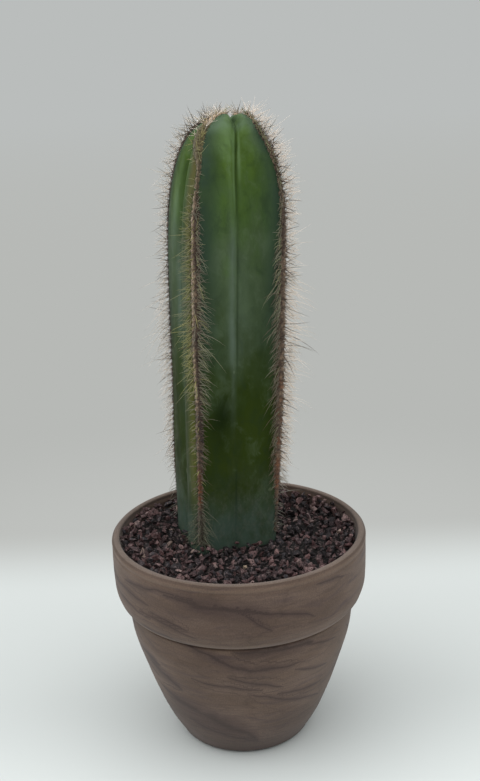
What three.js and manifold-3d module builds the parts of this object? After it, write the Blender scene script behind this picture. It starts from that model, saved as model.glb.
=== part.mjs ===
// A potted columnar cactus: a marbled clay pot with a rim band, potting soil, a top dressing of crushed
// lava, and one four-ribbed stem whose crests carry a line of felted areoles with their spines.
// Millimetres, +Z up. The origin is the centre of the pot's flat underside.
import * as THREE from "three";
import { mergeVertices } from "three/addons/utils/BufferGeometryUtils.js";
import Module from "manifold-3d";

const wasm = await Module();
wasm.setup();

const { degToRad, lerp, smoothstep } = THREE.MathUtils;
const UP = new THREE.Vector3(0, 0, 1);

// Driving dimensions
const RIM_RADIUS = 75;
const POT_HEIGHT = 128.3;
const BAND_HEIGHT = 41.8;
const LIP_WIDTH = 5.7;
const FLOOR_THICKNESS = 8;
const BASE_RADIUS = 37;
const DRAIN_HOLE_RADIUS = 7;
const TURN_SEGMENTS = 48;

const GAP = 0.35;
const SOIL_TOP = 104;
const GRAVEL_TOP = 122.3;

const RIB_COUNT = 4;
const FIRST_CREST = degToRad(-117.5);
const CREST_RADIUS_LOW = 32.7;
const CREST_RADIUS_HIGH = 35.6;
const STEM_TOP = 366;
const DOME_START = 300;
const DOME_POWER = 2.3;
const ROOT_BOTTOM = 63;
const ROOT_SHARE = 0.84;
const ROOT_POWER = 2.4;
const STEM_BASE_X = -7.5;
const STEM_BASE_Y = 14;
const STEM_LEAN = 0.0375;

const AREOLE_PITCH = 7.6;
const AREOLE_LINE_START = 127.5;
const SPINE_ROOT_RADIUS = 0.42;

// Materials
const clay = new THREE.MeshStandardMaterial({ color: 0x6b5a50, roughness: 0.85, metalness: 0 });
const soilMaterial = new THREE.MeshStandardMaterial({ color: 0x2c2119, roughness: 1, metalness: 0 });
const lava = new THREE.MeshStandardMaterial({ color: 0x3a2826, roughness: 0.95, metalness: 0 });
const skin = new THREE.MeshStandardMaterial({ color: 0x3c5a2f, roughness: 0.45, metalness: 0 });
const felt = new THREE.MeshStandardMaterial({ color: 0x8a7356, roughness: 0.9, metalness: 0 });

// Repeatable random numbers between low and high
function seeded(seed) {
  let state = seed;
  return (low = 0, high = 1) => {
    state = (state + 0x6d2b79f5) | 0;
    let mixed = Math.imul(state ^ (state >>> 15), 1 | state);
    mixed = (mixed + Math.imul(mixed ^ (mixed >>> 7), 61 | mixed)) ^ mixed;
    return low + (high - low) * (((mixed ^ (mixed >>> 14)) >>> 0) / 4294967296);
  };
}

// Solids and geometries
function solidOf(geometry) {
  const bare = geometry.clone();
  bare.deleteAttribute("normal");
  bare.deleteAttribute("uv");
  const merged = mergeVertices(bare, 1e-4);
  return new wasm.Manifold(
    new wasm.Mesh({
      numProp: 3,
      vertProperties: new Float32Array(merged.attributes.position.array),
      triVerts: new Uint32Array(merged.index.array),
    }),
  );
}

function geometryOf(solid) {
  const { vertProperties, triVerts } = solid.getMesh();
  const geometry = new THREE.BufferGeometry();
  geometry.setAttribute("position", new THREE.BufferAttribute(vertProperties, 3));
  geometry.setIndex(new THREE.BufferAttribute(triVerts, 1));
  geometry.computeVertexNormals();
  return geometry;
}

// The largest body of a solid, without the scraps that a cut leaves loose
function largestBody(solid) {
  return solid.decompose().reduce((kept, body) => (body.volume() > kept.volume() ? body : kept));
}

// A profile of [radius, height] points turned about +Z
function turned(profile) {
  const points = profile.map(([radius, height]) => new THREE.Vector2(radius, height));
  return new THREE.LatheGeometry(points, TURN_SEGMENTS).rotateX(Math.PI / 2);
}

// A closed skin over rings of equal length, listed upwards, each running anticlockwise seen from above
function skinned(rings) {
  const count = rings[0].length;
  const points = rings.flat();
  const middle = (ring) =>
    ring.reduce((sum, point) => sum.add(point), new THREE.Vector3()).divideScalar(count);
  const bottom = points.push(middle(rings[0])) - 1;
  const top = points.push(middle(rings[rings.length - 1])) - 1;
  const lastRing = (rings.length - 1) * count;
  const index = [];
  for (let i = 0; i < count; i++) {
    const next = (i + 1) % count;
    index.push(bottom, next, i, top, lastRing + i, lastRing + next);
    for (let row = 0; row < lastRing; row += count) {
      index.push(row + i, row + next, row + count + next, row + i, row + count + next, row + count + i);
    }
  }
  return new THREE.BufferGeometry().setFromPoints(points).setIndex(index);
}

function mesh(name, geometry, material) {
  const made = new THREE.Mesh(geometry, material);
  made.name = name;
  return made;
}

// The pot: a convex tapered body, a straight band round the rim and a drain hole
const BAND_LOW = POT_HEIGHT - BAND_HEIGHT;
const BODY_RADIUS = RIM_RADIUS - 7.7;

const outerProfile = [
  [BASE_RADIUS, 0],
  [BASE_RADIUS + 3.6, 1.6],
  [BASE_RADIUS + 9.5, 12],
  [54, 31],
  [60.4, 51],
  [65.6, 71],
  [BODY_RADIUS, BAND_LOW],
  [RIM_RADIUS - 5.1, BAND_LOW + 2],
  [RIM_RADIUS - 2.7, BAND_LOW + 4.8],
  [RIM_RADIUS - 1, BAND_LOW + 9.5],
  [RIM_RADIUS - 0.2, BAND_LOW + 18],
  [RIM_RADIUS, POT_HEIGHT - 2.8],
  [RIM_RADIUS - 0.8, POT_HEIGHT - 0.7],
];
const innerProfile = [
  [RIM_RADIUS - 2.5, POT_HEIGHT],
  [RIM_RADIUS - LIP_WIDTH + 0.9, POT_HEIGHT - 0.6],
  [RIM_RADIUS - LIP_WIDTH, POT_HEIGHT - 2.4],
  [62.5, BAND_LOW],
  [57.2, 62],
  [50.6, 40],
  [43.4, 20],
  [BASE_RADIUS, FLOOR_THICKNESS],
];

function buildPot() {
  const hole = [
    [DRAIN_HOLE_RADIUS, FLOOR_THICKNESS],
    [DRAIN_HOLE_RADIUS, 0],
  ];
  return turned([...outerProfile, ...innerProfile, ...hole, outerProfile[0]]);
}

// The pot's inner radius at a height, less the gap that keeps the filling clear of the wall
function fillRadius(height) {
  const above = innerProfile.findIndex((point) => point[1] <= height);
  const [highRadius, high] = innerProfile[above - 1];
  const [lowRadius, low] = innerProfile[above];
  return lerp(lowRadius, highRadius, (height - low) / (high - low)) - GAP;
}

// The pot's filling between two heights, as wide as the inner wall allows
function filling(low, high) {
  const corners = innerProfile.map((point) => point[1]).filter((height) => height > low && height < high);
  const heights = [low, ...corners.reverse(), high];
  return turned([[0, low], ...heights.map((height) => [fillRadius(height), height]), [0, high]]);
}

// The stem's form, as the radius of its section at a height and an angle
function stemAxis(height) {
  return new THREE.Vector3(STEM_BASE_X + STEM_LEAN * (height - GRAVEL_TOP), STEM_BASE_Y, height);
}

// How far a point of the section lies from the axis, as a share of the crest's radius.
// across runs from 0 on a crest to 1 in the valley beside it. Flanks are nearly flat, and a little plump.
// The crease in each valley is shallow on the column and deepens on the young dome.
const EIGHTH_TURN = Math.PI / 4;
const CREST_ROUNDING = 0.1;
const PLUMPNESS = 0.03;
const CREASE_DEPTH = { column: 0.04, dome: 0.2 };
const CREASE_WIDTH = { column: 0.16, dome: 0.24 };

function sectionShare(across, height) {
  const flatFace = (share) => Math.cos(EIGHTH_TURN) / Math.cos(EIGHTH_TURN * (1 - share));
  const rounded = flatFace(Math.hypot(across, CREST_ROUNDING)) / flatFace(CREST_ROUNDING);
  const plump = PLUMPNESS * Math.sin(Math.PI * across);
  const young = smoothstep(height, DOME_START - 15, STEM_TOP - 12);
  const creaseDepth = lerp(CREASE_DEPTH.column, CREASE_DEPTH.dome, young);
  const creaseWidth = lerp(CREASE_WIDTH.column, CREASE_WIDTH.dome, young);
  const ribbed = rounded + plump - creaseDepth * Math.exp((across - 1) / creaseWidth);
  return lerp(ROOT_SHARE, ribbed, smoothstep(height, SOIL_TOP - 12, SOIL_TOP + 6));
}

// The crest's radius: a blunt root crown, a column that widens a little, and a dome
function crestRadius(height) {
  if (height < SOIL_TOP) {
    const depth = (SOIL_TOP - height) / (SOIL_TOP - ROOT_BOTTOM);
    return CREST_RADIUS_LOW * Math.sqrt(Math.max(0, 1 - depth ** ROOT_POWER));
  }
  const straight = lerp(CREST_RADIUS_LOW, CREST_RADIUS_HIGH, smoothstep(height, SOIL_TOP, DOME_START));
  const rise = Math.max(0, height - DOME_START) / (STEM_TOP - DOME_START);
  return straight * Math.max(0, 1 - rise ** DOME_POWER) ** (1 / DOME_POWER);
}

// A height on the dome, from its foot at 0 to the growing point at a quarter turn
function domeHeight(turn) {
  return DOME_START + (STEM_TOP - DOME_START) * Math.sin(turn) ** (2 / DOME_POWER);
}

// The growing point lies in a shallow dip between the crests
const DIP_RADIUS = 9;
const DIP_DEPTH = 2.4;
function stemPoint(angle, height, outwards = 0) {
  const ribTurn = (angle - FIRST_CREST) / (2 * EIGHTH_TURN);
  const across = Math.abs(ribTurn - Math.round(ribTurn)) * 2;
  const radius = crestRadius(height) * sectionShare(across, height);
  const dip = height > DOME_START ? DIP_DEPTH * Math.max(0, 1 - radius / DIP_RADIUS) ** 2 : 0;
  const point = stemAxis(height);
  point.x += Math.cos(angle) * (radius + outwards);
  point.y += Math.sin(angle) * (radius + outwards);
  point.z -= dip;
  return point;
}

// Angles where the section has its corners, closer together at the crests and creases
const ACROSS_STEPS = [-0.9, -0.72, -0.45, -0.22, -0.08, 0, 0.08, 0.22, 0.45, 0.72, 0.9, 1];
const sectionAngles = [];
for (let rib = 0; rib < RIB_COUNT; rib++) {
  const crest = FIRST_CREST + 2 * rib * EIGHTH_TURN;
  ACROSS_STEPS.forEach((across) => sectionAngles.push(crest + across * EIGHTH_TURN));
}

// Heights of the stem's rings: the root crown, the column and the dome
const QUARTER_TURN = Math.PI / 2;
const ROOT_TIP = 0.8;
const LAST_RING_TURN = QUARTER_TURN - 0.06;

function stemHeights() {
  const steps = (count, at) => Array.from({ length: count }, (_, i) => at(i / count));
  const crownDepth = SOIL_TOP - ROOT_BOTTOM - ROOT_TIP;
  const crown = steps(5, (t) => SOIL_TOP - crownDepth * Math.cos(t * QUARTER_TURN));
  const column = steps(8, (t) => lerp(SOIL_TOP, DOME_START, t));
  const dome = steps(12, (t) => domeHeight(t * LAST_RING_TURN));
  return [...crown, ...column, ...dome, domeHeight(LAST_RING_TURN)];
}

function stemSkin(outwards) {
  const ring = (height) => sectionAngles.map((angle) => stemPoint(angle, height, outwards));
  return skinned(stemHeights().map(ring));
}

// Potting soil, with a plain hole that the root crown stands in
function buildSoil() {
  const plainRing = (height) =>
    sectionAngles.map((angle) => {
      const radius = crestRadius(Math.min(height, SOIL_TOP)) + GAP;
      return stemAxis(height).add(new THREE.Vector3(Math.cos(angle) * radius, Math.sin(angle) * radius, 0));
    });
  const heights = [...stemHeights().filter((height) => height < SOIL_TOP), SOIL_TOP, GRAVEL_TOP];
  const hole = skinned(heights.map(plainRing)).translate(0, 0, -GAP);
  return geometryOf(solidOf(filling(FLOOR_THICKNESS + GAP, SOIL_TOP)).subtract(solidOf(hole)));
}

// Crushed lava: angular chips sunk in the layer they cover
const CHIP_BED = 1.5;
const CHIP_SPACING = 6.8;
const CHIP_TRIES = 9000;
const CHIP_SIZES = [4.7, 4, 3.2];
const CHIP_RAGGEDNESS = 0.3;

function chip(random) {
  const geometry = new THREE.OctahedronGeometry(1);
  geometry.deleteAttribute("normal");
  geometry.deleteAttribute("uv");
  const block = mergeVertices(geometry);
  const corners = block.attributes.position;
  for (let i = 0; i < corners.count; i++) {
    const corner = new THREE.Vector3().fromBufferAttribute(corners, i);
    corner.x += random(-CHIP_RAGGEDNESS, CHIP_RAGGEDNESS);
    corner.y += random(-CHIP_RAGGEDNESS, CHIP_RAGGEDNESS);
    corner.z += random(-CHIP_RAGGEDNESS, CHIP_RAGGEDNESS);
    corners.setXYZ(i, ...corner);
  }
  const turn = new THREE.Euler(random(-0.7, 0.7), random(-0.7, 0.7), random(0, 2 * Math.PI));
  return block.scale(...CHIP_SIZES).applyQuaternion(new THREE.Quaternion().setFromEuler(turn));
}

function chipPlaces(random) {
  const places = [];
  const widest = fillRadius(GRAVEL_TOP) - 0.6;
  const stem = stemAxis(GRAVEL_TOP);
  for (let i = 0; i < CHIP_TRIES; i++) {
    const place = new THREE.Vector2(random(-widest, widest), random(-widest, widest));
    const fromStem = place.clone().sub(stem);
    const stemEdge = crestRadius(GRAVEL_TOP) * 0.8;
    if (place.length() > widest || fromStem.length() < stemEdge) continue;
    if (places.every((other) => other.distanceTo(place) > CHIP_SPACING)) places.push(place);
  }
  return places;
}

function buildGravel() {
  const random = seeded(11);
  const low = SOIL_TOP + GAP;
  const layer = solidOf(filling(low, GRAVEL_TOP - CHIP_BED));
  const room = solidOf(filling(low, POT_HEIGHT - 3));
  const heap = chipPlaces(random).reduce((joined, { x, y }) => {
    const height = GRAVEL_TOP + random(-1.2, 0.1);
    return joined.add(solidOf(chip(random).translate(x, y, height)));
  }, layer);
  const aroundStem = heap.intersect(room).subtract(solidOf(stemSkin(GAP + 0.1)));
  return geometryOf(largestBody(aroundStem));
}

// A crest's areoles: a line of felt along it, and the spines that stand in the felt
const PATH_STEPS = 160;
const FELT_END_TURN = QUARTER_TURN - 0.09;

function crestPath(angle) {
  const samples = [];
  for (let i = 0; i < PATH_STEPS; i++) {
    samples.push(stemPoint(angle, lerp(AREOLE_LINE_START, DOME_START, i / PATH_STEPS)));
  }
  for (let i = 0; i <= PATH_STEPS; i++) {
    samples.push(stemPoint(angle, domeHeight((FELT_END_TURN * i) / PATH_STEPS)));
  }
  return new THREE.CatmullRomCurve3(samples);
}

// The frame on a crest: along it, out of the stem, and to one side
function crestFrame(path, share, angle) {
  const along = path.getTangentAt(share);
  const side = new THREE.Vector3(-Math.sin(angle), Math.cos(angle), 0);
  const out = new THREE.Vector3().crossVectors(side, along).normalize();
  return { at: path.getPointAt(share), along, side, out };
}

// The felt swells at each areole and narrows between two
const FELT_HALF_WIDTH = 1.4;
const FELT_TOP_SHARE = 0.65;
const FELT_HEIGHT = 1.5;
const FELT_NARROWING = 0.72;

function feltLine(path, angle, areoleCount) {
  const rows = 2 * areoleCount;
  const rings = [];
  for (let row = 0; row <= rows; row++) {
    const { at, side, out } = crestFrame(path, row / rows, angle);
    const swell = row % 2 ? 1 : FELT_NARROWING;
    const corner = (across, above) => {
      const foot = at.clone().addScaledVector(out, GAP);
      return foot.addScaledVector(side, across * swell).addScaledVector(out, above * swell);
    };
    const topHalf = FELT_TOP_SHARE * FELT_HALF_WIDTH;
    const foot = [corner(FELT_HALF_WIDTH, 0), corner(-FELT_HALF_WIDTH, 0)];
    rings.push([...foot, corner(-topHalf, FELT_HEIGHT), corner(topHalf, FELT_HEIGHT)]);
  }
  return skinned(rings);
}

// Each spine of an areole leans from the stem's outward direction, and points round a circle:
// 0 degrees is sideways, 90 down and 270 up.
const SPINE_PATTERNS = [
  [
    { lean: 88, round: 32, length: 11 },
    { lean: 80, round: 160, length: 8 },
    { lean: 22, round: 95, length: 12.5 },
  ],
  [
    { lean: 80, round: 15, length: 8 },
    { lean: 88, round: 145, length: 11 },
    { lean: 38, round: 268, length: 9 },
  ],
];

const SPINE_ROOT_DEPTH = 0.9;

function spine(frame, lean, round, length) {
  const direction = new THREE.Vector3()
    .addScaledVector(frame.out, Math.cos(lean))
    .addScaledVector(frame.side, Math.sin(lean) * Math.cos(round))
    .addScaledVector(frame.along, -Math.sin(lean) * Math.sin(round));
  const root = frame.at.clone().addScaledVector(frame.out, GAP + FELT_HEIGHT - SPINE_ROOT_DEPTH);
  const whole = length + SPINE_ROOT_DEPTH;
  const geometry = new THREE.ConeGeometry(SPINE_ROOT_RADIUS, whole, 3);
  const turn = new THREE.Quaternion().setFromUnitVectors(new THREE.Vector3(0, 1, 0), direction);
  geometry.translate(0, whole / 2, 0).applyQuaternion(turn).translate(root.x, root.y, root.z);
  return { geometry, tip: root.addScaledVector(direction, whole) };
}

// Spines point up where they would reach the gravel, and stand up shorter towards the growing point
const CLEAR_OF_GRAVEL = GRAVEL_TOP + 5;
const TOP_LEAN = 34;
const TOP_LENGTH_SHARE = 0.75;

function areoleSpines(frame, pattern, random) {
  const onTop = smoothstep(frame.out.dot(UP), 0.3, 0.95);
  return pattern.map(({ lean, round, length }) => {
    const leaning = degToRad(lerp(lean, Math.min(lean, TOP_LEAN), onTop) + random(-7, 7));
    const turning = degToRad(round + random(-12, 12));
    const size = length * random(0.82, 1.12) * lerp(1, TOP_LENGTH_SHARE, onTop);
    const made = spine(frame, leaning, turning, size);
    return made.tip.z > CLEAR_OF_GRAVEL ? made : spine(frame, leaning, -turning, size);
  });
}

function buildAreoles(crest) {
  const random = seeded(101 + crest);
  const angle = FIRST_CREST + crest * 2 * EIGHTH_TURN;
  const path = crestPath(angle);
  const count = Math.round(path.getLength() / AREOLE_PITCH);
  let joined = solidOf(feltLine(path, angle, count));
  for (let i = 0; i < count; i++) {
    const frame = crestFrame(path, (i + 0.5) / count, angle);
    areoleSpines(frame, SPINE_PATTERNS[i % 2], random).forEach(({ geometry }) => {
      joined = joined.add(solidOf(geometry));
    });
  }
  return geometryOf(joined);
}

const potted = new THREE.Group();
potted.add(mesh("pot", buildPot(), clay));
potted.add(mesh("potting_soil", buildSoil(), soilMaterial));
potted.add(mesh("lava_gravel", buildGravel(), lava));

const cactus = new THREE.Group();
cactus.add(mesh("stem", stemSkin(0), skin));
for (let crest = 0; crest < RIB_COUNT; crest++) {
  cactus.add(mesh(`areoles_${crest + 1}`, buildAreoles(crest), felt));
}
potted.add(cactus);

export default potted;
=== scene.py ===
# Potted column cactus: clay pot, lava gravel, ribbed stem, and a row of woolly, spiny areoles on each crest.
# The frame has +Z up along the pot's axis and -Y towards the viewer. Shapes are worked out in millimetres,
# with heights measured up from the floor, and add_mesh() turns them into metres.
import math

import bmesh
import bpy
import numpy as np
from mathutils import Matrix


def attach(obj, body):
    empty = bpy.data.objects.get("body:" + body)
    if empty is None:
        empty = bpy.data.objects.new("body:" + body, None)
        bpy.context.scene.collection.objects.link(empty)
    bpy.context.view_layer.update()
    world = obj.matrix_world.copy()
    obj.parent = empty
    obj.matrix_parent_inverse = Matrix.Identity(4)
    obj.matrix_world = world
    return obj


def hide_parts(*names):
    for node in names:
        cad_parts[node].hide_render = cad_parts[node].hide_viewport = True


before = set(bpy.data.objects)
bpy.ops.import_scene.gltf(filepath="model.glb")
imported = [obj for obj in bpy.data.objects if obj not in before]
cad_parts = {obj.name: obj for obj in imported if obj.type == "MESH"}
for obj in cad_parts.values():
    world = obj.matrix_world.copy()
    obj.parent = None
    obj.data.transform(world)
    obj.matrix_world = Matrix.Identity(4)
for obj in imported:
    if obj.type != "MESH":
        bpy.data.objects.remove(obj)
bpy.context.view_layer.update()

MM = 0.001
TAU = 2 * math.pi

# Pot: its outline as curves through points of radius and height, each with the spacing of its samples
POT_TURNS = 400
HOLE_RADIUS = 7.0
FLOOR_TOP = 8.0
WALL_TOP = 127.0
FOOT_HEIGHT = 2.0
FOOT_CURVE = [(35.8, 0.0), (38.0, 0.5), (39.6, FOOT_HEIGHT)]
BODY_CURVE = [(39.6, FOOT_HEIGHT), (45.4, 12.0), (53.5, 31.0), (60.1, 51.0), (65.6, 71.0), (67.2, 85.4)]
STEP_CURVE = [(67.2, 85.4), (66.5, 86.1), (66.6, 86.7), (67.9, 87.0)]
SHOULDER_CURVE = [(67.9, 87.0), (70.0, 88.2), (72.3, 91.3)]
BAND_CURVE = [(72.3, 91.3), (74.0, 96.0), (74.8, 104.5), (74.95, 115.0), (74.9, 122.6)]
BEAD_CURVE = [(74.9, 122.6), (74.6, 123.5), (74.85, 124.4), (75.0, 125.6), (74.7, 126.8)]
RIM_CURVE = [(74.7, 126.8), (74.0, 127.3), (73.7, 127.9), (73.0, 128.3)]
LIP_CURVE = [(73.0, 128.3), (71.4, 128.3), (70.6, 127.9), (70.2, WALL_TOP)]
WALL_CURVE = [(70.2, WALL_TOP), (66.4, 107.0), (62.5, 86.5), (57.2, 62.0), (50.6, 40.0), (43.4, 20.0)]
WALL_CURVE += [(37.0, FLOOR_TOP)]
HOLE_CURVE = [(HOLE_RADIUS, FLOOR_TOP), (HOLE_RADIUS, 0.0)]
OUTSIDE = [(FOOT_CURVE, 0.8), (BODY_CURVE, 1.1), (STEP_CURVE, 0.3), (SHOULDER_CURVE, 0.6)]
OUTSIDE += [(BAND_CURVE, 1.1), (BEAD_CURVE, 0.5), (RIM_CURVE, 0.4)]
INSIDE = [(LIP_CURVE, 0.5), (WALL_CURVE, 4.0), ([WALL_CURVE[-1], HOLE_CURVE[0]], 6.0)]
INSIDE += [(HOLE_CURVE, 4.0), ([HOLE_CURVE[1], FOOT_CURVE[0]], 8.0)]

# Gravel: it lies higher along the wall than round the stem, and is heaped at the front left crest
SOIL_TOP = 104.0
GRAVEL_TOP = 122.3
GRAVEL_BED = 119.6
BED_TURNS = 180
BED_RINGS = 22
GRAIN_LEVEL_MIDDLE = 124.6
GRAIN_LEVEL_WALL = 128.2
HEAP_PLACE = (-22.0, -20.0)
HEAP_HEIGHT = 2.8
HEAP_RADIUS = 13.0
GRAIN_RADIUS = (1.75, 3.6)
GRAIN_NESTING = 0.65
GRAIN_TRIES = 9
GRAIN_MISSES = 2500
GRAIN_SHAPES = 48
BRIGHT_GRAINS = 0.0015
GAP = 0.35

# Stem: its crests, numbered the way their turn grows
CREST_COUNT = 4
FRONT_LEFT, RIGHT, BACK, LEFT = range(CREST_COUNT)
FIRST_CREST = math.radians(-117.5)
QUARTER = math.pi / 2
CREST_RADIUS_LOW = 32.7
CREST_RADIUS_HIGH = 35.6
STEM_TOP = 366.0
DOME_START = 300.0
DOME_POWER = 2.3
ROOT_BOTTOM = 63.8
ROOT_SHARE = 0.84
ROOT_POWER = 2.4
STEM_BASE = (-7.5, 14.0)
STEM_LEAN = 0.0375
STEM_COLUMNS = 272
COLUMN_CROWDING = 0.55
ROW_SPACING = 1.5

# The section: how round its crests and faces are, and how deep and wide its creases, low down and on the dome
CREST_ROUNDING = 0.1
PLUMPNESS = 0.03
CREASE_DEPTH = (0.04, 0.14)
CREASE_WIDTH = (0.16, 0.19)

# How far the front crease lies off the middle of its face, in quarter turns, and how far the tip lies off the
# axis. Then the tip's dip, its notches at the creases, and its tilt to the viewer
CREASE_SHIFT = 0.042
TIP_SHIFT = 2.4
TIP_DIP = 3.2
TIP_DIP_RADIUS = 8.0
TIP_NOTCH = 4.6
TIP_TILT = 0.13

# Swellings of the crests, as crest, height, half height and size, and the first crest's bend on the dome
CREST_SWELLS = [(RIGHT, 205.0, 60.0, 1.2), (LEFT, 275.0, 60.0, 0.9), (LEFT, 165.0, 28.0, 0.8)]
CREST_BEND = math.radians(-14.0)
BEND_HEIGHTS = (338, 362)

# Areoles. From here on a list in round brackets has a value for each crest, and a pair in it has one for the
# flank on each side, first the one against the turn: how near the axis the row ends, then the felt's size,
# shift, two tones, painted lighter on a lit flank and darker on a shaded one, and rust, and the wool's
# shortest and longest hair
AREOLE_PITCH = 3.4
AREOLE_START = 126.0
ROW_END_RADIUS = (3.2, 7.5, 5.5, 4.5)
FELT_HALF_WIDTH = (2.7, 3.3, 2.6, 2.4)
FELT_SHIFT = (-0.4, -0.9, 0.0, 0.3)
FELT_SHIFT_LOW = (0.7, -0.9, 0.0, 0.3)
FELT_HEIGHT = (1.1, 1.3, 1.2, 1.1)
FELT_LIT_AND_SHADED_TONES = ((0.68, 0.14), (0.3, 0.56), (0.3, 0.5), (0.25, 0.2))
FELT_RUST = (0.6, 0.35, 0.5, 0.5)
WOOL_LENGTHS = ((0.5, 1.2), (0.6, 1.6), (0.6, 1.5), (0.6, 1.6))
FELT_WRAP = 0.15
WOOL_HAIRS = 44
WOOL_RADIUS = 0.06

# Spines: a few central ones, and a comb on each flank. Its count, its degrees fallen from straight up and
# leant from straight out, how far out on the felt it stands, its tone along the horn colours, and its length
# as shares. Then its hooking, the added length at mid height, the length on the dome, and the odd tones
CENTRALS = 3
COMB_SPREAD = 32.0
COMB_COUNT = ((7, 7), (8, 14), (6, 6), (6, 7))
COMB_FALL = ((116, 98), (114, 106), (114, 114), (112, 116))
COMB_TILT = ((78, 84), (100, 60), (75, 75), (75, 62))
COMB_ROOT = ((0.85, 0.35), (0.6, 0.5), (0.3, 0.3), (0.5, 0.5))
COMB_TONE = ((0.28, 0.21), (0.21, 0.85), (0.75, 0.75), (0.8, 0.9))
COMB_LENGTH = ((1.05, 1.38), (1.05, 1.3), (1.1, 1.1), (1.15, 1.3))
COMB_HOOK = (0.2, 0.3, 0.3, 0.3)
MIDDLE_LENGTH = (1.5, 3.0, 3.0, 3.0)
DOME_LENGTH = (0.7, 1.35, 1.3, 1.25)
ODD_TONES = ((0.05, 0.2, 0.4), (0.06, 0.16, 0.9), (0.06, 0.16, 0.9), (0.06, 0.16, 0.9))
ODD_SHARE = (0.06, 0.13, 0.13, 0.13)
ODD_SHARE_YOUNG = (0.1, 0.0, 0.1, 0.2)
SPINE_CEILING = 375.2


def lerp(low, high, share):
    return low + (high - low) * share


def fade(value, low, high, start=0.0, end=1.0):
    """From start to end, softly, as the value goes from low to high."""
    share = np.clip((value - low) / (high - low), 0, 1)
    return lerp(start, end, share * share * (3 - 2 * share))


def bell(offset):
    """1 at no offset, about a third at 1, and next to nothing from 2."""
    return np.exp(-(offset**2))


def unit(vectors):
    return vectors / np.maximum(np.linalg.norm(vectors, axis=-1, keepdims=True), 1e-9)


def on_circle(turn, radius, height):
    return np.stack([radius * np.cos(turn), radius * np.sin(turn), height], -1)


def lumps(points, cell, seed):
    """Smooth random values from -1 to 1 at an array of points. Cell is the lumps' size along each axis."""
    place = np.asarray(points, float) / np.asarray(cell, float)
    corner = np.floor(place).astype(np.int64)
    blend = place - corner
    blend = blend * blend * (3 - 2 * blend)
    total = 0.0
    for dx in (0, 1):
        for dy in (0, 1):
            for dz in (0, 1):
                x, y, z = corner[..., 0] + dx, corner[..., 1] + dy, corner[..., 2] + dz
                mixed = (x * 73856093) ^ (y * 19349663) ^ (z * 83492791) ^ (seed * 2654435761)
                mixed = (mixed ^ (mixed >> 13)) * 1274126177 & 0xFFFFFFFF
                mixed = (mixed ^ (mixed >> 16)) * 2246822519 & 0xFFFFFFFF
                value = mixed / 0x7FFFFFFF - 1
                weight = np.abs(1 - dx - blend[..., 0]) * np.abs(1 - dy - blend[..., 1])
                total = total + value * weight * np.abs(1 - dz - blend[..., 2])
    return total


def curve_through(points, spacing):
    """A smooth curve through points, sampled about every spacing, without its last point."""
    points = np.array(points, float)
    chord = np.linalg.norm(np.diff(points, axis=0), axis=1)
    slope = np.diff(points, axis=0) / chord[:, None]
    tangent = np.empty_like(points)
    tangent[0], tangent[-1] = slope[0], slope[-1]
    share = (chord[:-1] / (chord[:-1] + chord[1:]))[:, None]
    tangent[1:-1] = lerp(slope[:-1], slope[1:], share)
    samples = []
    for start in range(len(chord)):
        count = max(1, round(chord[start] / spacing))
        t = (np.arange(count) / count)[:, None]
        samples.append(
            (2 * t**3 - 3 * t**2 + 1) * points[start]
            + (t**3 - 2 * t**2 + t) * chord[start] * tangent[start]
            + (3 * t**2 - 2 * t**3) * points[start + 1]
            + (t**3 - t**2) * chord[start] * tangent[start + 1]
        )
    return np.concatenate(samples)


def grid_faces(rows, columns, row_loop=False):
    """Quads of a grid of points whose columns close into a ring."""
    last = rows if row_loop else rows - 1
    row, column = np.meshgrid(np.arange(last), np.arange(columns), indexing="ij")
    here, above, beside = row * columns, (row + 1) % rows * columns, (column + 1) % columns
    return np.stack([here + column, here + beside, above + beside, above + column], -1).reshape(-1, 4)


def pole_faces(rows, columns):
    """Triangles that close such a grid below and above, to the two points that follow the grid's own."""
    ring, pole = np.arange(columns), rows * columns
    beside, last = np.roll(ring, -1), pole - columns
    below = np.stack([beside, ring, np.full(columns, pole)], -1)
    above = np.stack([last + ring, last + beside, np.full(columns, pole + 1)], -1)
    return np.concatenate([below, above])


def repeated(faces, count, size):
    """The faces of count copies of a shape that has size points."""
    return (faces[None] + (np.arange(count) * size)[:, None, None]).reshape(-1, faces.shape[1])


def add_mesh(name, points, faces, materials, smooth=True, values=None, face_materials=None):
    """A mesh object from points in millimetres. Values are named numbers, one for each point."""
    mesh = bpy.data.meshes.new(name)
    mesh.from_pydata((np.asarray(points) * MM).tolist(), [], [f for group in faces for f in group.tolist()])
    for label, numbers in (values or {}).items():
        attribute = mesh.attributes.new(label, "FLOAT", "POINT")
        attribute.data.foreach_set("value", np.asarray(numbers, np.float32))
    for material in materials:
        mesh.materials.append(material)
    if face_materials is not None:
        mesh.polygons.foreach_set("material_index", face_materials)
    mesh.polygons.foreach_set("use_smooth", [smooth] * len(mesh.polygons))
    mesh.update()
    piece = bpy.data.objects.new(name, mesh)
    bpy.context.scene.collection.objects.link(piece)
    return piece


def srgb(red, green, blue):
    """A colour from 0 to 255 as the linear colour that shaders take."""
    shares = [channel / 255 for channel in (red, green, blue)]
    return [s / 12.92 if s <= 0.04045 else ((s + 0.055) / 1.055) ** 2.4 for s in shares] + [1.0]


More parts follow.
